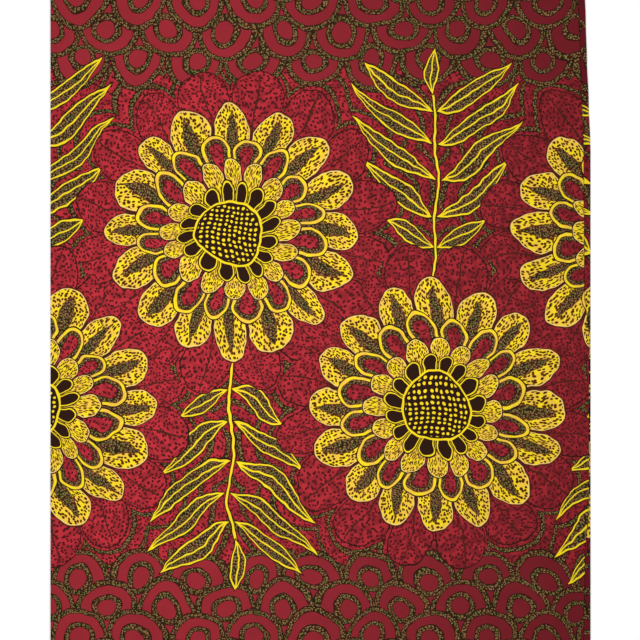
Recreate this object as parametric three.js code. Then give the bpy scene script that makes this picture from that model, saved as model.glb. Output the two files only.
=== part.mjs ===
// A length of wax print cotton laid flat in lays: one long cloth, folded to and fro and patted down.
// The lay that shows rolls over at its right-hand fold and tucks in. The hidden lays are one solid,
// layered at its edges. Millimetres, +Z up, the cloth's selvedges along the front and the back.
import * as THREE from "three";

// Driving dimensions
const LAY_LENGTH = 914; // from fold to fold, one yard
const CLOTH_WIDTH = 1168; // from selvedge to selvedge
const LAYS = 6; // six yards, one to a lay
const WALL = 1.0; // the cloth as a wall
const SEAM = 0.3; // between the lay that shows and the lays under it
const LOW_STACK = 5.4; // hidden lays, pressed flat along the middle
const HIGH_STACK = 7.8; // the same lays where their folds spring up, at the left and right
const FLAT_HALF = 250; // half the length of the pressed middle
const SPRUNG_FROM = 390; // from here out to the folds the lays stand at their full height
const TUCK = 20; // how far the lay that shows runs back under itself

// Layered edges
const SLOT = 0.34; // height of the slit between two lays
const SLOT_DEPTH = 6; // how far the slit runs in
const LIP_ROUND = 0.35; // rounding of a lay's edge
const FOLD_ROUND = 0.8; // rounding of a fold's two shoulders
const WANDER = 1.6; // how far a selvedge strays from a straight line
const FOLD_WANDER = 1.2; // how far a hidden fold strays inward
const WAVES = [
  { share: 0.65, length: 860, phaseTimes: 1 }, // a slow wave along an edge
  { share: 0.35, length: 446, phaseTimes: 2.3 }, // and a quicker one over it
];

// Fineness
const SLOPE_STEPS = 3; // columns over the slope up to the folds
const MIDDLE_STEPS = 4; // columns over the pressed middle
const ROWS = 18; // rows from selvedge to selvedge
const FOLD_STEPS = 6; // facets round the rolled fold

const HALF_LENGTH = LAY_LENGTH / 2;
const HALF_WIDTH = CLOTH_WIDTH / 2;
const HIDDEN_LAYS = LAYS - 1;

// The right-hand edge, seen from above: the fold of the lay that shows, and the fold below it,
// which lies a little further out. Both are measured from the middle of the stack.
const RIGHT_EDGE = [
  { y: -584, shown: 444, stepped: 457 },
  { y: -406, shown: 447, stepped: 457 },
  { y: -305, shown: 454, stepped: 457 },
  { y: -34, shown: 454, stepped: 457 },
  { y: 60, shown: 446, stepped: 457 },
  { y: 288, shown: 445, stepped: 457 },
  { y: 372, shown: 442, stepped: 454 },
  { y: 440, shown: 440, stepped: 451 },
  { y: 508, shown: 437, stepped: 449 },
  { y: 584, shown: 434, stepped: 446 },
];

// How each hidden lay lies: how far its two ends stand back from the stack's, its shift towards the
// back, and the phases of its edges' wander. Lays are counted from the top, and the one that shows
// is 1. Two lays that a fold joins share that end.
const HIDDEN = [
  { lay: 6, leftBack: 1.5, leftPhase: 2.6, rightBack: 6.0, rightPhase: 3.4, shift: 1.2, phase: 0.4 },
  { lay: 5, leftBack: 4.2, leftPhase: 0.7, rightBack: 6.0, rightPhase: 3.4, shift: -1.4, phase: 2.1 },
  { lay: 4, leftBack: 4.2, leftPhase: 0.7, rightBack: 0.0, rightPhase: 0.0, shift: 0.6, phase: 3.7 },
  { lay: 3, leftBack: 1.6, leftPhase: 5.1, rightBack: 0.0, rightPhase: 0.0, shift: 1.6, phase: 5.2 },
  { lay: 2, leftBack: 1.6, leftPhase: 5.1, rightBack: 0.0, rightPhase: 0.0, shift: -0.8, phase: 1.3 },
];
const SHOWN_PHASE = 4.4;
const BUTTED_LAY = 2; // its right end meets the tuck of the lay that shows

// The lower lay of each pair that one fold joins.
const FOLDED_LEFT = [3, 5];
const FOLDED_RIGHT = [4, 6];

const easeInOut = (t) => t * t * (3 - 2 * t);
const between = (a, b, t) => a + (b - a) * t;

// A column of the right-hand edge at any y, eased from row to row.
function rightEdge(column, y) {
  const last = RIGHT_EDGE.length - 1;
  const at = Math.min(Math.max(y, RIGHT_EDGE[0].y), RIGHT_EDGE[last].y);
  const i = Math.min(RIGHT_EDGE.findLastIndex((row) => row.y <= at), last - 1);
  const [from, to] = [RIGHT_EDGE[i], RIGHT_EDGE[i + 1]];
  return between(from[column], to[column], easeInOut((at - from.y) / (to.y - from.y)));
}

// Columns across the slopes and the middle, the same in both pieces so that they lie parallel.
const columns = [];
for (let i = 0; i <= SLOPE_STEPS; i += 1) {
  columns.push(-between(SPRUNG_FROM, FLAT_HALF, i / SLOPE_STEPS));
}
for (let i = 1; i < MIDDLE_STEPS; i += 1) {
  columns.push(between(-FLAT_HALF, FLAT_HALF, i / MIDDLE_STEPS));
}
for (let i = 0; i <= SLOPE_STEPS; i += 1) {
  columns.push(between(FLAT_HALF, SPRUNG_FROM, i / SLOPE_STEPS));
}

// Height of the hidden lays at a column: low in the middle, then an eased slope up to the folds.
function stackHeight(x) {
  const out = (Math.abs(x) - FLAT_HALF) / (SPRUNG_FROM - FLAT_HALF);
  return between(LOW_STACK, HIGH_STACK, easeInOut(Math.min(Math.max(out, 0), 1)));
}

// A slow, uneven wander along an edge, from -1 to 1.
function wander(along, phase) {
  const wave = ({ share, length, phaseTimes }) =>
    share * Math.sin((2 * Math.PI * along) / length + phaseTimes * phase);
  return WAVES.reduce((sum, each) => sum + wave(each), 0);
}

// Collects triangles by shared corners and gives a geometry.
class Faces {
  constructor() {
    this.places = [];
    this.corners = [];
  }

  point(x, y, z) {
    this.places.push(x, y, z);
    return this.places.length / 3 - 1;
  }

  quad(a, b, c, d) {
    this.corners.push(a, b, c, a, c, d);
  }

  geometry() {
    const made = new THREE.BufferGeometry();
    made.setAttribute("position", new THREE.Float32BufferAttribute(this.places, 3));
    made.setIndex(this.corners);
    made.computeVertexNormals();
    return made;
  }
}

// A closed wall from two like grids of corners, grid[i][j], the outer one facing the side that
// i cross j points to.
function closeWall(faces, outer, inner) {
  const [endI, endJ] = [outer.length - 1, outer[0].length - 1];
  for (let i = 0; i < endI; i += 1) {
    for (let j = 0; j < endJ; j += 1) {
      faces.quad(outer[i][j], outer[i + 1][j], outer[i + 1][j + 1], outer[i][j + 1]);
      faces.quad(inner[i][j], inner[i][j + 1], inner[i + 1][j + 1], inner[i + 1][j]);
    }
    faces.quad(outer[i][0], inner[i][0], inner[i + 1][0], outer[i + 1][0]);
    faces.quad(outer[i][endJ], outer[i + 1][endJ], inner[i + 1][endJ], inner[i][endJ]);
  }
  for (let j = 0; j < endJ; j += 1) {
    faces.quad(outer[0][j], outer[0][j + 1], inner[0][j + 1], inner[0][j]);
    faces.quad(outer[endI][j], inner[endI][j], inner[endI][j + 1], outer[endI][j + 1]);
  }
}

// The selvedges of a lay at any x: straight but for their wander.
const selvedges = (shift, phase) => ({
  front: (x) => shift - HALF_WIDTH + WANDER * wander(x, phase),
  back: (x) => shift + HALF_WIDTH + WANDER * wander(x, phase + 1),
});

// The rolled fold of the lay that shows, which is a lay lower where it is tucked in.
const TUCK_Z = HIGH_STACK * (1 - 1 / HIDDEN_LAYS) - SLOT / 2 + SEAM; // underside of the tuck
const SHOWN_Z = HIGH_STACK + SEAM + WALL; // top of the lay above it
const FOLD_RADIUS = (SHOWN_Z - TUCK_Z - WALL) / 2; // of the fold's centre line
const foldCentre = (y) => rightEdge("shown", y) - FOLD_RADIUS - WALL / 2;

// The lay that shows. Each row is a section from the cut end on the left, along the top, round the
// fold on the right and back under it, as the centre line of a wall with its normal.
function shownLay() {
  const faces = new Faces();
  const edges = selvedges(0, SHOWN_PHASE);
  const rowY = (row, x) => between(edges.front(x), edges.back(x), row / ROWS);
  const centreZ = TUCK_Z + WALL / 2 + FOLD_RADIUS;
  const [outer, inner] = [[], []];
  for (let row = 0; row <= ROWS; row += 1) {
    const foldX = foldCentre(rowY(row, HALF_LENGTH));
    const line = [-HALF_LENGTH, ...columns, foldX].map((x) => ({
      x,
      z: stackHeight(x) + SEAM + WALL / 2,
      nx: 0,
      nz: 1,
    }));
    for (let i = 1; i <= FOLD_STEPS; i += 1) {
      const turn = (Math.PI * i) / FOLD_STEPS;
      const [nx, nz] = [Math.sin(turn), Math.cos(turn)];
      line.push({ x: foldX + FOLD_RADIUS * nx, z: centreZ + FOLD_RADIUS * nz, nx, nz });
    }
    line.push({ x: foldX - TUCK, z: centreZ - FOLD_RADIUS, nx: 0, nz: -1 });
    line.forEach(({ x, z, nx, nz }, i) => {
      outer[i] ??= [];
      inner[i] ??= [];
      const y = rowY(row, x);
      const half = WALL / 2;
      outer[i].push(faces.point(x + half * nx, y, z + half * nz));
      inner[i].push(faces.point(x - half * nx, y, z - half * nz));
    });
  }
  closeWall(faces, outer, inner);
  return faces.geometry();
}

// A hidden lay's four edges at their furthest, and the rounding of its lip on each side. Towards
// the lay that a fold joins it to, the lip isn't rounded.
function hiddenLay({ lay, leftBack, leftPhase, rightBack, rightPhase, shift, phase }) {
  const stray = (y, atPhase) => (FOLD_WANDER * (1 + wander(y, atPhase))) / 2;
  const inward = rightBack > 0 ? 1 : 0; // the fold that steps out shows its own outline
  const round = (lowerOfPairs, towardsUp) => {
    const [above, below] = [lowerOfPairs.includes(lay), lowerOfPairs.includes(lay + 1)];
    if (towardsUp ? above : below) {
      return 0;
    }
    return above || below ? FOLD_ROUND : LIP_ROUND;
  };
  return {
    lay,
    left: (y) => -HALF_LENGTH + leftBack + stray(y, leftPhase),
    right: (y) =>
      lay === BUTTED_LAY
        ? foldCentre(y) - TUCK - SEAM
        : rightEdge("stepped", y) - rightBack - inward * stray(y, rightPhase),
    ...selvedges(shift, phase),
    roundLeft: (towardsUp) => round(FOLDED_LEFT, towardsUp),
    roundRight: (towardsUp) => round(FOLDED_RIGHT, towardsUp),
  };
}

// The slit between two lays runs in from the shorter of the two on each side, but not where a fold
// joins them.
function slitBetween(upper, lower) {
  const leftDepth = FOLDED_LEFT.includes(lower.lay) ? 0 : SLOT_DEPTH;
  const rightDepth = FOLDED_RIGHT.includes(lower.lay) ? 0 : SLOT_DEPTH;
  return {
    left: (y) => Math.max(upper.left(y), lower.left(y)) + leftDepth,
    right: (y) => Math.min(upper.right(y), lower.right(y)) - rightDepth,
    front: (x) => Math.max(upper.front(x), lower.front(x)) + SLOT_DEPTH,
    back: (x) => Math.min(upper.back(x), lower.back(x)) - SLOT_DEPTH,
  };
}

// A lay's lip, drawn in by its rounding on the upper or the lower side.
const lip = (lay, towardsUp) => ({
  left: (y) => lay.left(y) + lay.roundLeft(towardsUp),
  right: (y) => lay.right(y) - lay.roundRight(towardsUp),
  front: (x) => lay.front(x) + LIP_ROUND,
  back: (x) => lay.back(x) - LIP_ROUND,
});

// The rings of the hidden lays, from the flat underside to the top: each has its four edges and
// its height as a share of the stack and a step in millimetres.
function layeredRings() {
  const lays = HIDDEN.map(hiddenLay);
  const rings = [];
  lays.forEach((lay, index) => {
    const [bottom, top] = [index / HIDDEN_LAYS, (index + 1) / HIDDEN_LAYS];
    const [below, above] = [lays[index - 1], lays[index + 1]];
    const [floorStep, roofStep] = [below ? SLOT / 2 : 0, above ? -SLOT / 2 : 0];
    if (below) {
      rings.push({ edges: slitBetween(lay, below), share: bottom, step: floorStep });
    }
    rings.push({ edges: lip(lay, false), share: bottom, step: floorStep });
    rings.push({ edges: lay, share: (bottom + top) / 2, step: 0 });
    rings.push({ edges: lip(lay, true), share: top, step: roofStep });
    if (above) {
      rings.push({ edges: slitBetween(above, lay), share: top, step: roofStep });
    }
  });
  return rings;
}

// A ring's places on a grid of columns and rows. Its border is the ring, and its inside is used
// only where a cap closes the solid.
function ringPlaces({ edges, share, step }) {
  const ends = columns.length + 1;
  const grid = [];
  for (let i = 0; i <= ends; i += 1) {
    grid.push([]);
    for (let row = 0; row <= ROWS; row += 1) {
      const inside = columns[Math.min(Math.max(i, 1), ends - 1) - 1];
      const y = between(edges.front(inside), edges.back(inside), row / ROWS);
      const atEnd = { 0: edges.left(y), [ends]: edges.right(y) };
      const x = atEnd[i] ?? inside;
      grid[i].push([x, y, stackHeight(x) * share + step]);
    }
  }
  return grid;
}

// The hidden lays: rings stacked from the flat underside to the top, with a cap on each end.
function hiddenLays() {
  const faces = new Faces();
  const grids = layeredRings().map(ringPlaces);
  const [endI, endJ] = [columns.length + 1, ROWS];
  const upTo = (end) => Array.from({ length: end }, (_, step) => step);
  const border = [
    ...upTo(endI).map((i) => [i, 0]),
    ...upTo(endJ).map((j) => [endI, j]),
    ...upTo(endI).map((i) => [endI - i, endJ]),
    ...upTo(endJ).map((j) => [0, endJ - j]),
  ];
  const cap = (grid) => grid.map((column) => column.map((place) => faces.point(...place)));
  const [bottom, top] = [cap(grids[0]), cap(grids.at(-1))];
  const inner = grids.slice(1, -1).map((grid) => border.map(([i, j]) => faces.point(...grid[i][j])));
  const onBorder = (capPoints) => border.map(([i, j]) => capPoints[i][j]);
  const rings = [onBorder(bottom), ...inner, onBorder(top)];
  for (let level = 0; level + 1 < rings.length; level += 1) {
    const [lower, upper] = [rings[level], rings[level + 1]];
    for (let k = 0; k < border.length; k += 1) {
      const next = (k + 1) % border.length;
      faces.quad(lower[k], lower[next], upper[next], upper[k]);
    }
  }
  for (let i = 0; i < endI; i += 1) {
    for (let j = 0; j < endJ; j += 1) {
      faces.quad(bottom[i][j], bottom[i][j + 1], bottom[i + 1][j + 1], bottom[i + 1][j]);
      faces.quad(top[i][j], top[i + 1][j], top[i + 1][j + 1], top[i][j + 1]);
    }
  }
  return faces.geometry();
}

const crimsonCotton = new THREE.MeshStandardMaterial({
  color: 0x9c2a33,
  roughness: 0.78,
  metalness: 0,
});
const maroonCotton = new THREE.MeshStandardMaterial({
  color: 0x6e2024,
  roughness: 0.82,
  metalness: 0,
});

const cloth = new THREE.Group();

const topLay = new THREE.Mesh(shownLay(), crimsonCotton);
topLay.name = "top_lay";
cloth.add(topLay);

const underLays = new THREE.Mesh(hiddenLays(), maroonCotton);
underLays.name = "under_lays";
cloth.add(underLays);

export default cloth;
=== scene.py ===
import math
from functools import partial

import bpy
import numpy as np
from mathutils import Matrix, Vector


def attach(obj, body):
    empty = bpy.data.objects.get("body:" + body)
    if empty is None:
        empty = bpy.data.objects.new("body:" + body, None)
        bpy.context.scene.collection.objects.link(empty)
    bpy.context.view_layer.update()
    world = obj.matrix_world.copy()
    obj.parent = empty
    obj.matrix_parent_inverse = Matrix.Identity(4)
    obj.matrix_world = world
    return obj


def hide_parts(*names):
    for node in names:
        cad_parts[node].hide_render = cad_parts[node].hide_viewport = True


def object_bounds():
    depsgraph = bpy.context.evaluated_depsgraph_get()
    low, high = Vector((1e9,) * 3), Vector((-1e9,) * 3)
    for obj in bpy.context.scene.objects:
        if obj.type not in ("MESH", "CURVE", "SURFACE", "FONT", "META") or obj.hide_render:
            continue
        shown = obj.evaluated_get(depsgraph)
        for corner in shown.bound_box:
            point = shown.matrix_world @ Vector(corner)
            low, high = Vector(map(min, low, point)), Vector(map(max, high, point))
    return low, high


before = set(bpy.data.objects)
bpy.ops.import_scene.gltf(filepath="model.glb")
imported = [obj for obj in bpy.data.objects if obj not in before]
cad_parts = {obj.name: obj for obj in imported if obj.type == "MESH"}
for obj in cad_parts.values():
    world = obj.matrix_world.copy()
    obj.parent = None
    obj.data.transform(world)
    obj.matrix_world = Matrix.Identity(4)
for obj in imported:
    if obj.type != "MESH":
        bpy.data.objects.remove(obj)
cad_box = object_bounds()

# The lay that shows
# The first lay of one long cloth: plain-woven cotton, wax-resist printed on both faces. It starts
# at a cut end on the left, lies flat over the other lays and rolls back under itself on the right.

MM = 0.001
LAYS = 6
LAY_LENGTH = 914 * MM  # one yard, from fold to fold
CLOTH_WIDTH = 1168 * MM  # 46 in, from selvedge to selvedge
CLOTH_THICK = 0.42 * MM
FLOOR_GAP = 0.02 * MM
PRESSED_PITCH = 1.15 * MM  # from lay to lay where the stack is patted flat
SPRUNG_PITCH = 1.58 * MM  # from lay to lay where the folds hold it up
PRESSED_HALF = 250 * MM  # half the length of the flat middle
SPRUNG_FROM = 395 * MM
FOLD_REACH = 1.1 * MM  # from a fold's furthest point back to where the lays lie flat
TUCK = 18 * MM  # how far the piece with the lay that shows runs back under itself

# The right-hand edge from above, against the place across the cloth: the fold of the lay that
# shows, and the fold below it, which lies further out.
EDGE_Y = np.array([-584, -406, -305, -34, 60, 288, 372, 440, 508, 584]) * MM
EDGE_SHOWN = np.array([444, 447, 454, 454, 446, 445, 442, 440, 437, 434]) * MM
EDGE_STEPPED = np.array([457, 457, 457, 457, 457, 457, 454, 451, 449, 446]) * MM
LOWEST_BACK = 7.2 * MM  # the third fold on the right, back from the stepped one
RIGHT_EDGES = (EDGE_SHOWN, EDGE_STEPPED, EDGE_STEPPED - LOWEST_BACK)
STEPPED_LAY, HELD_LAY = 3, 5  # lays that end at the second and the third fold on the right
OVERHANG_DROOP = 2.0 * MM  # of what reaches past that third fold, at the stepped one
# On the left: the first cut end, the two folds and the second cut end, back from the furthest.
LEFT_BACK = np.array([0, 2.4, 5.0, 2.1]) * MM
FOLD_STRAY = 0.9 * MM  # how far a hidden end strays from a straight line
STRAY_LENGTH = 710 * MM
STRAY_TURN = 2.3  # radians from one end's stray to the next one's

# Each wave: its share, length in metres, direction and phase.
AIR_WAVES = [(0.40, 0.61, 0.35, 1.1), (0.30, 0.43, 1.25, 4.0), (0.30, 0.29, 2.30, 2.2)]
LOOSE_WAVES = [(0.45, 0.37, 0.15, 0.4), (0.35, 0.24, 1.05, 2.9), (0.20, 0.145, 2.75, 5.0)]
AIR_SHARE = 0.06  # of the pitch, from the air left between the lays
LOOSE_HEIGHT = 0.55 * MM  # of the lay that shows, which nothing presses down
RIPPLE_LENGTHS = (83 * MM, 51 * MM)  # along a selvedge, which is woven tighter than the cloth
RIPPLE_HEIGHT = 0.13 * MM
RIPPLE_REACH = 16 * MM
RIPPLE_TURN = 1.9  # radians from one lay's ripples to the next one's
SIDE_WAVES = [(1.9 * MM, 1.93, 0.6), (1.1 * MM, 0.77, 2.2)]  # height, length along and phase

ARC_STEPS = 10  # facets round a fold
TOP_COLUMNS, TOP_ROWS, TOP_CROWDING = 150, 172, 0.2
UNDER_COLUMNS, UNDER_ROWS, UNDER_CROWDING = 90, 84, 0.55
ROW_CROWDING = 0.45
SQUARE_EDGE = 0.001  # what the map for baking leaves free at its edge


def edge_at(y, column):
    """A column of the edge table at any y, eased from row to row by 3t^2 - 2t^3."""
    i = np.clip(np.searchsorted(EDGE_Y, y, side="right") - 1, 0, len(EDGE_Y) - 2)
    t = np.clip((y - EDGE_Y[i]) / (EDGE_Y[i + 1] - EDGE_Y[i]), 0, 1)
    return column[i] + (column[i + 1] - column[i]) * t * t * (3 - 2 * t)


def waves_at(x, y, waves):
    """A sum of sine waves over the ground, each with a share, a length, a direction and a phase."""
    return sum(
        share * np.sin(2 * np.pi * (x * math.cos(turn) + y * math.sin(turn)) / length + phase)
        for share, length, turn, phase in waves
    )


def lay_height(lay, x, y):
    """Height of a lay's middle: the floor and a pitch for each lay below it. The pitch eases from
    the pressed middle to the sprung ends and swells with the air left in, the lay that shows lies
    looser by three waves, and a Gaussian of the way to the selvedge lets two sines ripple it.
    What reaches past the third fold on the right droops by a square of the way out."""
    out = np.clip((np.abs(x) - PRESSED_HALF) / (SPRUNG_FROM - PRESSED_HALF), 0, 1)
    out = out * out * (3 - 2 * out)
    pitch = PRESSED_PITCH + (SPRUNG_PITCH - PRESSED_PITCH) * out
    pitch = pitch * (1 + AIR_SHARE * (1 - out) * waves_at(x, y, AIR_WAVES))
    height = FLOOR_GAP + CLOTH_THICK / 2 + (LAYS - lay) * pitch
    if lay == 1:
        height = height + LOOSE_HEIGHT * (1 - out) * (1 + waves_at(x, y, LOOSE_WAVES))
    if lay < LAYS:
        near = np.exp(-(((CLOTH_WIDTH / 2 - np.abs(y)) / RIPPLE_REACH) ** 2))
        turn = RIPPLE_TURN * lay
        ripple = sum(np.sin(2 * np.pi * x / length + turn) for length in RIPPLE_LENGTHS)
        height = height + RIPPLE_HEIGHT * near * ripple
    if lay < HELD_LAY:
        (_, held), (_, stepped) = lay_ends(HELD_LAY, y), lay_ends(STEPPED_LAY, y)
        height = height - OVERHANG_DROOP * np.clip((x - held) / (stepped - held), 0, 1) ** 2
    return height


def lay_ends(lay, y):
    """Left and right ends of a lay at y. Two lays that a fold joins share that end, and an end that
    another lay hides strays by a sine of y."""
    left, right = lay // 2, (lay - 1) // 2
    way = 2 * np.pi * y / STRAY_LENGTH
    left_stray, right_stray = (np.sin(way + STRAY_TURN * end) for end in (left, right))
    left_x = -LAY_LENGTH / 2 + LEFT_BACK[left] + FOLD_STRAY * left_stray * (left > 0)
    right_x = edge_at(y, RIGHT_EDGES[right]) + FOLD_STRAY * right_stray * (right > 1)
    return left_x, right_x


def crowded(steps, crowding):
    """Places from 0 to 1, closer together at both ends: a share of a half cosine, the rest even."""
    t = np.linspace(0, 1, steps + 1)
    return (1 - crowding) * t + crowding * (1 - np.cos(np.pi * t)) / 2


def lay_columns(lay, across, shares):
    """One lay's middle as columns of places (x, height), from where the cloth comes in to where it
    leaves: places at given shares of its length, and the lay's height there."""
    left, right = lay_ends(lay, across)
    left = left + (FOLD_REACH if 1 < lay < LAYS else 0)
    x = left + (right - FOLD_REACH - left) * shares[:, None]
    x = x if lay % 2 else x[::-1]
    return np.stack([x, lay_height(lay, x, across)])


def fold_columns(lay, before, after):
    """The fold from a lay into the next as columns: half an ellipse between the last column of the
    lay above and the first of the lay below, with the fold's reach as its other half axis."""
    turn = (np.pi * np.arange(1, ARC_STEPS) / ARC_STEPS)[:, None]
    away = FOLD_REACH if lay % 2 else -FOLD_REACH
    x = (before[0] + after[0]) / 2 + away * np.sin(turn)
    z = (before[1] + after[1]) / 2 + (before[1] - after[1]) / 2 * np.cos(turn)
    return np.stack([x, z])


UNDER_SHARES = crowded(UNDER_COLUMNS, UNDER_CROWDING)


def run_of_lays(across, first_shares):
    """The whole cloth's middle as columns (x, height, length along the cloth): the lays one after
    the other with a fold after each but the last, and the running sum of the steps between them."""
    lays = [lay_columns(1, across, first_shares)]
    lays += [lay_columns(lay, across, UNDER_SHARES) for lay in range(2, LAYS + 1)]
    parts = lays[:1]
    for lay, (above, below) in enumerate(zip(lays, lays[1:]), start=1):
        parts += [fold_columns(lay, above[:, -1], below[:, 0]), below]
    x, z = np.concatenate(parts, axis=1)
    along = np.cumsum(np.hypot(np.diff(x, axis=0), np.diff(z, axis=0)), axis=0)
    return x, z, np.concatenate([0 * x[:1], along])


def cloth_piece(name, places, across, material):
    """A stretch of the cloth as a grid over its length and its width: x and height as given, and y
    the place across it plus two slow sines of the length, because no lay is put down quite true.
    One UV map gives the length along the cloth and the place across it in millimetres, and one
    spreads the grid evenly over a square, through which the print can be baked to an image."""
    x, z, along = places
    y = across
    for height, length, phase in SIDE_WAVES:
        y = y + height * np.sin(2 * np.pi * along / length + phase)
    columns, rows = x.shape
    index = np.arange(columns * rows).reshape(columns, rows)
    quads = np.stack([index[:-1, :-1], index[1:, :-1], index[1:, 1:], index[:-1, 1:]], axis=-1)
    mesh = bpy.data.meshes.new(name)
    mesh.from_pydata(np.stack([x, y, z], axis=-1).reshape(-1, 3), [], quads.reshape(-1, 4))
    mesh.polygons.foreach_set("use_smooth", np.ones(len(mesh.polygons), bool))

    corners = np.empty(len(mesh.loops), np.int32)
    mesh.loops.foreach_get("vertex_index", corners)
    flat = np.stack([along, across + 0 * along], axis=-1).reshape(-1, 2) / MM
    mesh.uv_layers.new(name="cloth").uv.foreach_set("vector", flat[corners].ravel())
    even = np.stack(np.divmod(corners, rows), axis=-1) / (columns - 1, rows - 1)
    even = SQUARE_EDGE + (1 - 2 * SQUARE_EDGE) * even
    mesh.uv_layers.new(name="OFBake").uv.foreach_set("vector", even.ravel())

    ends = np.empty(2 * len(mesh.edges), np.int32)
    mesh.edges.foreach_get("vertices", ends)
    (column_a, row_a), (column_b, row_b) = (divmod(end, rows) for end in ends.reshape(-1, 2).T)
    on_selvedge = (row_a == row_b) & (row_a % (rows - 1) == 0)
    on_end = (column_a == column_b) & (column_a % (columns - 1) == 0)
    mesh.edges.foreach_set("use_edge_sharp", on_selvedge | on_end)

    piece = bpy.data.objects.new(name, mesh)
    bpy.context.scene.collection.objects.link(piece)
    mesh.materials.append(material)
    wall = piece.modifiers.new("thickness", "SOLIDIFY")
    wall.thickness = CLOTH_THICK
    wall.offset = 0
    return piece


# The print: bold flowers in two rows set half a repeat apart, leaf sprays between them and rows of
# fans along both selvedges, in crimson, golden yellow, olive and a dark brown outline. Its sizes
# are in millimetres on the flat cloth.
REPEAT = 691  # along the cloth
FIRST_FLOWER = 307  # from the cut end to the first flower of the back row
FLOWER_ROW = 150  # from the middle of the cloth to a row of flowers
PETALS = 16
PETAL_FILL = 0.97  # how much of its share of the circle a petal takes
# Each ring of petals: how far its tips and its shoulders are from the flower's middle.
PETAL_RINGS = {
    "halo": (276, 224),
    "outer": (218, 176),
    "second": (161, 131),
    "third": (119, 97),
    "inner": (88, 72),
}
PETAL_LENS = (118, 206, 10.5)  # the olive in an outer petal: its start, its end and half its width
HALO_VEIN, VEIN_FROM = 1.1, 7  # half a vein's width, and how deep in the halo's petals it starts
ECHO_STEP = 23  # from line to line of those that echo the halo's outline
SEED_HEAD, SEED_RIM = 58, 6  # radius of the seed head, and width of its rim without seeds
FAN = 50  # radius of a fan, and the step from row to row of them
FAN_ROWS = 4
FAN_BASE = 590  # from the middle of the cloth to the outermost row's centres
FAN_PITCH = REPEAT / 7  # seven fans to a repeat
LEAF_STEP = 58  # from leaf to leaf along the stem
LEAF_ROOTS = (116, 348)  # from the middle of the cloth to the first and the last pair
LEAF_SLOPE = 0.45  # how far a leaf rises for its way out from the stem
LEAF_BEND = 0.0022  # how much more it rises with each millimetre further out
LEAF_TILT = 0.8  # a leaf's width for what it takes up along the stem
LEAF_HALF, LEAF_LENGTH = 18, 150  # half a leaf's width, and how far the longest one reaches
LONGEST_AT, SHORTENED_BY = 260, 230  # where the leaves are longest, and how far off they end
END_LEAF = (374, 458, 15)  # the leaf that ends the stem: its start, its end and half its width
STEM_HALF, STEM_OVERLAP = 3.6, 6  # half the stem's width, and how far it runs into the end leaf
RIB_HALF, RIB_FROM = 1.2, 4  # half a midrib's width, and how deep in the leaf it starts
# The small marks that fill each colour: the cell each mark has to itself, and the mark's radius.
OLIVE_SPECK = (3.3, 1.1)
CRIMSON_FLECK = (6.1, 1.95)
PETAL_FLECK = (6.6, 2.5)
SEED = (9, 2.5)
SEED_STRAY = 0.25  # of how far a seed could lie from the middle of its cell
FLECK_CIRCLE = 290  # radius of the circle round which the petals' flecks are as long as wide
BROAD_SWAY = (90, 24)  # size and height of the stray of the drawn lines, then a finer one
FINE_SWAY = (16, 3.6)
PATCH_RANGE = (0.42, 0.58)  # of the finer stray's noise: where a dye goes from one tone to the other
PATCH_DEPTH = 0.5  # how far towards its deeper tone a patch takes the crimson
SHADE_FROM, SHADE_TO = 250, 1000  # length along the cloth over which painted shade darkens the crimson towards the right
DARKEST_SHADE = 0.8  # how far towards its shaded tone the painted shade takes it
BLOTCH = 60  # width of the blotches in which dye takes unevenly
BLOTCH_RANGE, BLOTCH_TONE = (0.3, 0.7), (0.9, 1)  # their noise, and the tones that it gives
SLUB_LENGTH, SLUB_WIDTH = 20, 1.6  # of the thick places in the threads

# How deep inside each motif's outline each of its colours starts. A depth that is cut off to 0
# outside its motif has the first one just above that.
JUST_INSIDE = 0.01
STARTS = {
    "spot": (0,),
    "inside": (JUST_INSIDE,),
    "halo": (0, 1.8),
    "outer": (0, 1, 2, 3.4),
    "lens": (JUST_INSIDE, 1),
    "second": (0, 1.8, 6, 7, 13, 14.2),
    "third": (0, 1.8, 3),
    "inner": (0, 1.8, 3.6),
    "petal fleck": (0, 0.7),
    "seed head": (0, 3.4),
    "leaf": (JUST_INSIDE, 1.8, 4.3),
    "stem": (JUST_INSIDE, 1.7),
    "echo": (10, 11.2, 17, 18.2),  # in each step
    "fan": (1.6, 8.8, 10),  # in each half of its radius
    "selvedge": (575,),  # from the middle of the cloth
}

# The dyes: the flecked crimson, its deeper tone for patches and for painted shade, and its flecks,
# the fans' plain crimson and its tone with painted shade, the yellows and the flecks on them, and
# the olive's grounds and specks.
CRIMSON, CRIMSON_PATCH_AND_SHADE, MAROON = "#BA2D38", "#811F26", "#521417"
ROSE, SHADED_ROSE = "#992731", "#541219"
YELLOW, GOLD, CREAM, FLECK_BROWN = "#FBDC22", "#F4C842", "#F6D37C", "#3F2704"
OLIVE_DARK, UMBER, OLIVE_PALE, OLIVE_GREEN = "#2B1F0C", "#471F15", "#96764A", "#6F6D36"
OUTLINE, RUST, SELVEDGE = "#2A140A", "#7C4413", "#D8B9A6"


def linear(colour):
    """An sRGB hex colour as linear red, green, blue and alpha."""
    parts = [int(colour[i : i + 2], 16) / 255 for i in (1, 3, 5)]
    return (*[c / 12.92 if c <= 0.04045 else ((c + 0.055) / 1.055) ** 2.4 for c in parts], 1)


def add_node(tree, kind, *inputs, out=0, **settings):
    """Adds a shader node. A second word in its kind is its operation, or a Mix node's type. The
    inputs in use are linked or set in order, or left where None, and out picks the outputs."""
    kind, *operation = kind.split()
    made = tree.nodes.new("ShaderNode" + kind)
    if operation:
        settings["data_type" if kind == "Mix" else "operation"] = operation[0]
    for name, value in settings.items():
        setattr(made, name, value)
    for socket, value in zip([s for s in made.inputs if s.enabled], inputs):
        if isinstance(value, bpy.types.NodeSocket):
            tree.links.new(value, socket)
        elif value is not None:
            socket.default_value = linear(value) if isinstance(value, str) else value
    return [s for s in made.outputs if s.enabled][out]


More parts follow.
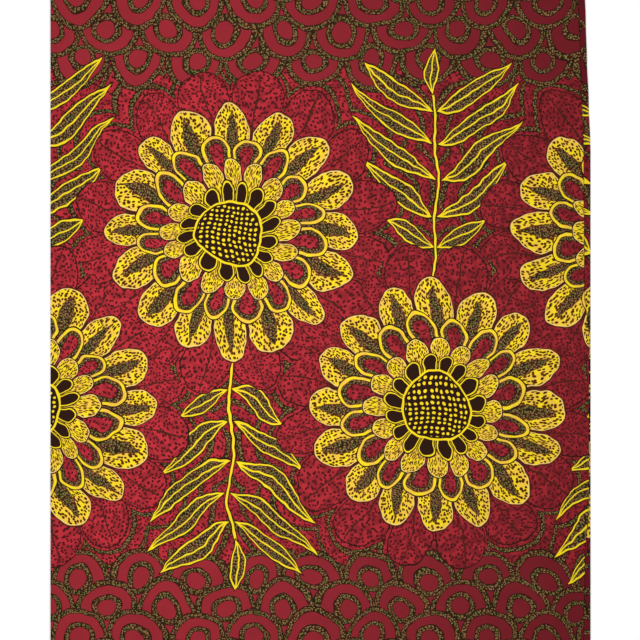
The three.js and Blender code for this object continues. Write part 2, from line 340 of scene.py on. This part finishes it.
def paint(add, below, depth, motif, *colours):
    """Paints a motif over what is below it: each of its colours lies where the depth inside the
    motif's outline is more than that colour's start."""
    for start, colour in zip(STARTS[motif], colours, strict=True):
        below = add("Mix RGBA", add("Math GREATER_THAN", depth, start), below, colour)
    return below


def spot_depth(add, place, mark, stray=1):
    """How deep a place lies in a spot of the mark's radius, one to each cell of a jittered grid."""
    cell, radius = mark
    near = add("TexVoronoi", place, 1 / cell, 0, None, None, stray, voronoi_dimensions="2D")
    return add("Math MULTIPLY_ADD", near, -cell, radius)


def lens_depth(add, along, start, end, off, half):
    """How deep a place lies in a lens with two pointed ends: half its width times the sine of the
    way from its start to its end, taken from 0 to pi, less how far the place is off its middle."""
    arch = add("Math SINE", add("MapRange", along, start, end, 0, math.pi))
    return add("Math MULTIPLY_ADD", arch, half, add("Math MULTIPLY", off, -1))


def petal_depth(add, r, aside, ring):
    """How deep a place lies in a petal: up to its shoulder a petal takes its share of the circle,
    and from there an ellipse rounds it to the tip. aside is the way from the petal's middle line."""
    tip, shoulder = PETAL_RINGS[ring]
    near = add("Math MINIMUM", r, shoulder)
    half = add("Math MULTIPLY", near, PETAL_FILL * math.pi / PETALS)
    share = add("Math DIVIDE", aside, half)
    over = add("Math SUBTRACT", r, near)
    over = add("Math DIVIDE", over, tip - shoulder)
    reach = add("VectorMath LENGTH", add("CombineXYZ", share, over))
    return add("Math MULTIPLY", half, add("Math SUBTRACT", 1, reach))


def fan_depth(add, u, from_middle):
    """How deep a place lies in the fan it belongs to, or 0. A row's fans are circles that reach one
    step towards the middle, where the next row's, half a pitch along, come out from under them."""
    row = add("Math DIVIDE", add("Math SUBTRACT", FAN_BASE, from_middle), FAN)
    index = add("Math FLOOR", row)
    down = add("Math MULTIPLY", add("Math FRACT", row), FAN)
    shift = add("Math MULTIPLY", index, FAN_PITCH / 2)
    aside = add("Math WRAP", add("Math ADD", u, shift), FAN_PITCH / 2, -FAN_PITCH / 2)
    aside = add("Math ABSOLUTE", aside)
    in_row = add("VectorMath LENGTH", add("CombineXYZ", aside, down))
    next_aside = add("Math SUBTRACT", FAN_PITCH / 2, aside)
    next_down = add("Math SUBTRACT", FAN, down)
    in_next = add("VectorMath LENGTH", add("CombineXYZ", next_aside, next_down))
    is_row = add("Math LESS_THAN", in_row, FAN)
    radius = add("Mix FLOAT", is_row, in_next, in_row)
    # Rows are numbered from 0, the outermost one, and only the first FAN_ROWS of them are there.
    number = add("Math SUBTRACT", add("Math ADD", index, 1), is_row)
    there = add("Math LESS_THAN", number, FAN_ROWS - 0.5)
    return add("Math MULTIPLY", add("Math SUBTRACT", FAN, radius), there)


def leaf(add, colour, olive, depth, off):
    """Paints a leaf over a colour, from how deep a place lies in it and how far off its midrib: an
    olive blade with a yellow edge and midrib."""
    colour = paint(add, colour, depth, "leaf", OUTLINE, YELLOW, olive)
    rib = add("Math SUBTRACT", RIB_HALF, off)
    rib = add("Math MULTIPLY", rib, add("Math GREATER_THAN", depth, RIB_FROM))
    return paint(add, colour, rib, "inside", YELLOW)


def spray(add, colour, olive, aside, from_middle):
    """A spray of leaves over a colour. Leaves rise from a stem at even steps and bend outwards along
    a parabola, each a lens. Their length is a parabola of where they start, and one more leaf ends
    the stem."""
    slope = add("Math MULTIPLY_ADD", aside, -LEAF_BEND, -LEAF_SLOPE)
    lifted = add("Math MULTIPLY_ADD", aside, slope, from_middle)
    place = add("Math WRAP", lifted, LEAF_STEP / 2, -LEAF_STEP / 2)
    root = add("Math SUBTRACT", lifted, place)
    way = add("Math DIVIDE", add("Math SUBTRACT", root, LONGEST_AT), SHORTENED_BY)
    length = add("Math MULTIPLY_ADD", add("Math MULTIPLY", way, way), -LEAF_LENGTH, LEAF_LENGTH)
    off = add("Math MULTIPLY", add("Math ABSOLUTE", place), LEAF_TILT)
    depth = lens_depth(add, aside, 0, length, off, LEAF_HALF)
    first, last = LEAF_ROOTS
    there = add("Math COMPARE", root, (first + last) / 2, (last - first + LEAF_STEP) / 2)
    colour = leaf(add, colour, olive, add("Math MULTIPLY", depth, there), off)

    start, end, half = END_LEAF
    there = add("Math LESS_THAN", from_middle, start + STEM_OVERLAP)
    stem = add("Math MULTIPLY", add("Math SUBTRACT", STEM_HALF, aside), there)
    colour = paint(add, colour, stem, "stem", OUTLINE, YELLOW)
    depth = lens_depth(add, from_middle, start, end, aside, half)
    return leaf(add, colour, olive, depth, aside)


def nearest_flower(add, u, v):
    """The way from the nearest flower's middle, its length, and how far a place is off the nearest
    stem. Flowers repeat along the cloth, and the front row's are half a repeat along from the back
    row's. From each flower a stem runs past the other row to the far selvedge."""
    back_x = add("Math WRAP", add("Math SUBTRACT", u, FIRST_FLOWER), REPEAT / 2, -REPEAT / 2)
    front_x = add("Math WRAP", add("Math ADD", back_x, REPEAT / 2), REPEAT / 2, -REPEAT / 2)
    back = add("CombineXYZ", back_x, add("Math SUBTRACT", v, FLOWER_ROW))
    front = add("CombineXYZ", front_x, add("Math ADD", v, FLOWER_ROW))
    back_r = add("VectorMath LENGTH", back)
    front_r = add("VectorMath LENGTH", front)
    place = add("Mix VECTOR", add("Math LESS_THAN", back_r, front_r), front, back)
    from_stem = add("Mix FLOAT", add("Math GREATER_THAN", v, 0), back_x, front_x)
    return place, add("Math MINIMUM", back_r, front_r), add("Math ABSOLUTE", from_stem)


def petal_ways(add, place, r):
    """The angle of a place round its flower's middle, and how far it is off the middle lines of the
    petals, and off those of the petals set between them, both along the circle."""
    x, y, _ = add("SeparateXYZ", place, out=slice(None))
    angle = add("Math ARCTAN2", y, x)
    turns = add("Math MULTIPLY", angle, PETALS / (2 * math.pi))
    arc = add("Math MULTIPLY", r, 2 * math.pi / PETALS)
    aside = add("Math ABSOLUTE", add("Math WRAP", turns, 0.5, -0.5))
    aside = add("Math MULTIPLY", aside, arc)
    between = add("Math SUBTRACT", add("Math MULTIPLY", arc, 0.5), aside)
    return angle, aside, between


def flower(add, colour, dyes, place, r, ways):
    """A flower over a colour: yellow petals with brown flecks and an olive lens, open ones with a
    crimson heart, yellow ones and dark ones, each ring set between those outside it, and a dark
    seed head with yellow dots. place is the way from its middle, r its length."""
    gold, olive, crimson = dyes
    angle, aside, between = ways
    polar = add("CombineXYZ", r, add("Math MULTIPLY", angle, FLECK_CIRCLE))
    fleck = spot_depth(add, polar, PETAL_FLECK)
    flecked = paint(add, gold, fleck, "petal fleck", RUST, FLECK_BROWN)

    depth = petal_depth(add, r, aside, "outer")
    colour = paint(add, colour, depth, "outer", OUTLINE, RUST, CREAM, flecked)
    start, end, half = PETAL_LENS
    depth = lens_depth(add, r, start, end, aside, half)
    colour = paint(add, colour, depth, "lens", RUST, olive)

    depth = petal_depth(add, r, between, "second")
    colour = paint(add, colour, depth, "second", OUTLINE, gold, RUST, olive, OUTLINE, crimson)
    depth = petal_depth(add, r, aside, "third")
    colour = paint(add, colour, depth, "third", OUTLINE, CREAM, flecked)
    depth = petal_depth(add, r, between, "inner")
    colour = paint(add, colour, depth, "inner", OUTLINE, YELLOW, OUTLINE)

    depth = add("Math SUBTRACT", SEED_HEAD, r)
    colour = paint(add, colour, depth, "seed head", YELLOW, OUTLINE)
    seed = spot_depth(add, place, SEED, SEED_STRAY)
    seed = add("Math MINIMUM", seed, add("Math SUBTRACT", depth, SEED_RIM))
    return paint(add, colour, seed, "spot", YELLOW)


def olive_specks(add, drawn, patch):
    """Olive from afar: specks, half of them pale and half green, on a ground whose patches are dark
    olive and umber."""
    cell, radius = OLIVE_SPECK
    near, cell_tone = add("TexVoronoi", drawn, 1 / cell, out=slice(2), voronoi_dimensions="2D")
    tone, _, _ = add("SeparateColor", cell_tone, out=slice(None))
    speck = add("Mix RGBA", add("Math GREATER_THAN", tone, 0.5), OLIVE_PALE, OLIVE_GREEN)
    ground = add("Mix RGBA", patch, OLIVE_DARK, UMBER)
    return add("Mix RGBA", add("Math LESS_THAN", near, radius / cell), ground, speck)


def print_colour(add, flat):
    """The print's colour from the length along the cloth and the place across it, both strayed a
    little by noise, whose middle is 0.5, because the print's lines are drawn by hand."""
    along, across, _ = add("SeparateXYZ", flat, out=slice(None))
    u, v = along, across
    for size, height in (BROAD_SWAY, FINE_SWAY):
        noise = add("TexNoise", flat, 1 / size, 0, out=1, noise_dimensions="2D")
        red, green, blue = add("SeparateColor", noise, out=slice(None))
        u = add("Math MULTIPLY_ADD", add("Math SUBTRACT", red, 0.5), height, u)
        v = add("Math MULTIPLY_ADD", add("Math SUBTRACT", green, 0.5), height, v)
    drawn = add("CombineXYZ", u, v)
    from_middle = add("Math ABSOLUTE", v)

    # The finer noise also parts each dye into patches of two tones.
    patch = add("MapRange", blue, *PATCH_RANGE, 0, 1)
    gold = add("Mix RGBA", patch, YELLOW, GOLD)
    olive = olive_specks(add, drawn, patch)
    # Painted shade: both crimsons grow darker along the cloth towards the right of the lay that
    # shows, and are darkest on the lays under it.
    painted_shade = add("MapRange", u, SHADE_FROM, SHADE_TO, 0, DARKEST_SHADE)
    shaded_plain_crimson = add("Mix RGBA", painted_shade, ROSE, SHADED_ROSE)
    patch_and_shade = add("Math MULTIPLY_ADD", patch, PATCH_DEPTH, painted_shade)
    crimson = add("Mix RGBA", patch_and_shade, CRIMSON, CRIMSON_PATCH_AND_SHADE)
    crimson = paint(add, crimson, spot_depth(add, drawn, CRIMSON_FLECK), "spot", MAROON)

    place, r, from_stem = nearest_flower(add, u, v)
    ways = petal_ways(add, place, r)
    _, _, between = ways
    halo = petal_depth(add, r, between, "halo")
    echo = add("Math FLOORED_MODULO", halo, ECHO_STEP)
    colour = paint(add, crimson, echo, "echo", OUTLINE, olive, OUTLINE, crimson)

    depth = fan_depth(add, u, from_middle)
    band = add("Math FLOORED_MODULO", depth, FAN / 2)
    fan = paint(add, OUTLINE, band, "fan", olive, OUTLINE, shaded_plain_crimson)
    colour = paint(add, colour, depth, "inside", fan)
    colour = spray(add, colour, olive, from_stem, from_middle)

    colour = paint(add, colour, halo, "halo", OUTLINE, crimson)
    vein = add("Math SUBTRACT", HALO_VEIN, between)
    vein = add("Math MULTIPLY", vein, add("Math GREATER_THAN", halo, VEIN_FROM))
    colour = paint(add, colour, vein, "inside", UMBER)
    colour = flower(add, colour, (gold, olive, crimson), place, r, ways)
    return paint(add, colour, add("Math ABSOLUTE", across), "selvedge", SELVEDGE)


def printed_cotton():
    """Waxed and printed cotton: a smooth plain weave with a slight finish, so its sheen is low and
    broad, and dye that took a little unevenly."""
    material = bpy.data.materials.new("printed_cotton")
    material.use_nodes = True
    tree = material.node_tree
    add = partial(add_node, tree)
    shader = tree.nodes["Principled BSDF"]
    flat = add("UVMap", uv_map="cloth")
    colour = print_colour(add, flat)

    blotch = add("TexNoise", flat, 1 / BLOTCH, 2, noise_dimensions="2D")
    blotch = add("MapRange", blotch, *BLOTCH_RANGE, *BLOTCH_TONE)
    tone = add("CombineColor", blotch, blotch, blotch)
    colour = add("Mix RGBA", 1, colour, tone, blend_type="MULTIPLY")
    tree.links.new(colour, shader.inputs["Base Color"])
    shader.inputs["Roughness"].default_value = 0.62
    shader.inputs["Specular IOR Level"].default_value = 0.05
    shader.inputs["Sheen Weight"].default_value = 0.01
    shader.inputs["Sheen Roughness"].default_value = 0.5

    # Threads lie 0.3 mm apart, too fine to show, so slubs, which are coarser, stand for them, along
    # the cloth and across it.
    warp = add("VectorMath MULTIPLY", flat, (1 / SLUB_LENGTH, 1 / SLUB_WIDTH, 0))
    weft = add("VectorMath MULTIPLY", flat, (1 / SLUB_WIDTH, 1 / SLUB_LENGTH, 0))
    warp = add("TexNoise", warp, 1, 0, noise_dimensions="2D")
    weft = add("TexNoise", weft, 1, 0, noise_dimensions="2D")
    height = add("Math ADD", warp, weft)
    tree.links.new(add("Bump", 0.35, 0.08 * MM, None, height), shader.inputs["Normal"])
    return material


cotton = printed_cotton()
across = CLOTH_WIDTH * (crowded(TOP_ROWS, ROW_CROWDING) - 0.5)
run = run_of_lays(across, crowded(TOP_COLUMNS, TOP_CROWDING))
# The tuck ends at the column of the second lay nearest to its length.
tuck_columns = int(np.argmin(np.abs(UNDER_SHARES * LAY_LENGTH - TUCK)))
top_end = TOP_COLUMNS + ARC_STEPS + tuck_columns
top_lay = cloth_piece("lay_that_shows", [part[: top_end + 1] for part in run], across, cotton)
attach(top_lay, "root")
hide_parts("top_lay")

# The lays under it
# The rest of the same cloth: five lays to and fro, with two folds on the left and two on the
# right. The last fold leads into the lowest lay, which runs to the second cut end on the left.

across = CLOTH_WIDTH * (crowded(UNDER_ROWS, ROW_CROWDING) - 0.5)
run = run_of_lays(across, UNDER_SHARES)
under_start = UNDER_COLUMNS + ARC_STEPS + tuck_columns
under_lays = cloth_piece("lays_under_it", [part[under_start:] for part in run], across, cotton)
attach(under_lays, "root")
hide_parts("under_lays")

# Floor, light and camera
# A pale plain floor for the photo's white ground, a soft light over the left of the cloth and the
# room's own light, and a long lens straight above.

FRAME_WIDTH = 1083 * MM  # what the photo's width takes in, at the top of the cloth
CAMERA_PLACE = (-0.9 * MM, 0, 6.0)  # in metres, as are the floor and the lights
FLOOR_HALF = 30.0  # so far that its edge stays out of view from a low angle too
ROOM_LIGHT = 0.37
KEY_PLACE = (-0.14, 0.03, 1.35)
KEY_SIZE = (0.8, 1.2)
KEY_POWER = 16.4
PAPER_GLOW = 0.44

scene = bpy.context.scene
scene.view_settings.view_transform = "Standard"

mesh = bpy.data.meshes.new("floor")
corners = [(-1, -1), (1, -1), (1, 1), (-1, 1)]
mesh.from_pydata([(FLOOR_HALF * x, FLOOR_HALF * y, 0) for x, y in corners], [], [(0, 1, 2, 3)])
floor = bpy.data.objects.new("floor", mesh)
scene.collection.objects.link(floor)

# White paper on a light table: its own faint glow keeps it white where the light falls off.
paper = bpy.data.materials.new("white_paper")
paper.use_nodes = True
shader = paper.node_tree.nodes["Principled BSDF"]
shader.inputs["Base Color"].default_value = linear("#D9D9D9")
shader.inputs["Roughness"].default_value = 0.9
shader.inputs["Specular IOR Level"].default_value = 0.1
shader.inputs["Emission Color"].default_value = linear("#FFFFFF")
shader.inputs["Emission Strength"].default_value = PAPER_GLOW
mesh.materials.append(paper)

key = bpy.data.lights.new("key", "AREA")
key.shape = "RECTANGLE"
key.size, key.size_y = KEY_SIZE
key.energy = KEY_POWER
key_light = bpy.data.objects.new("key", key)
key_light.location = KEY_PLACE
key_light.visible_camera = False
scene.collection.objects.link(key_light)

world = bpy.data.worlds.new("room")
world.use_nodes = True
world.node_tree.nodes["Background"].inputs["Color"].default_value = linear("#FFFFFF")
world.node_tree.nodes["Background"].inputs["Strength"].default_value = ROOM_LIGHT
scene.world = world

lens = bpy.data.cameras.new("camera")
lens.sensor_width = 36
lens.lens = lens.sensor_width * (CAMERA_PLACE[2] - cad_box[1][2]) / FRAME_WIDTH
lens.clip_end = 100
camera = bpy.data.objects.new("camera", lens)
camera.location = CAMERA_PLACE
scene.collection.objects.link(camera)
scene.camera = camera
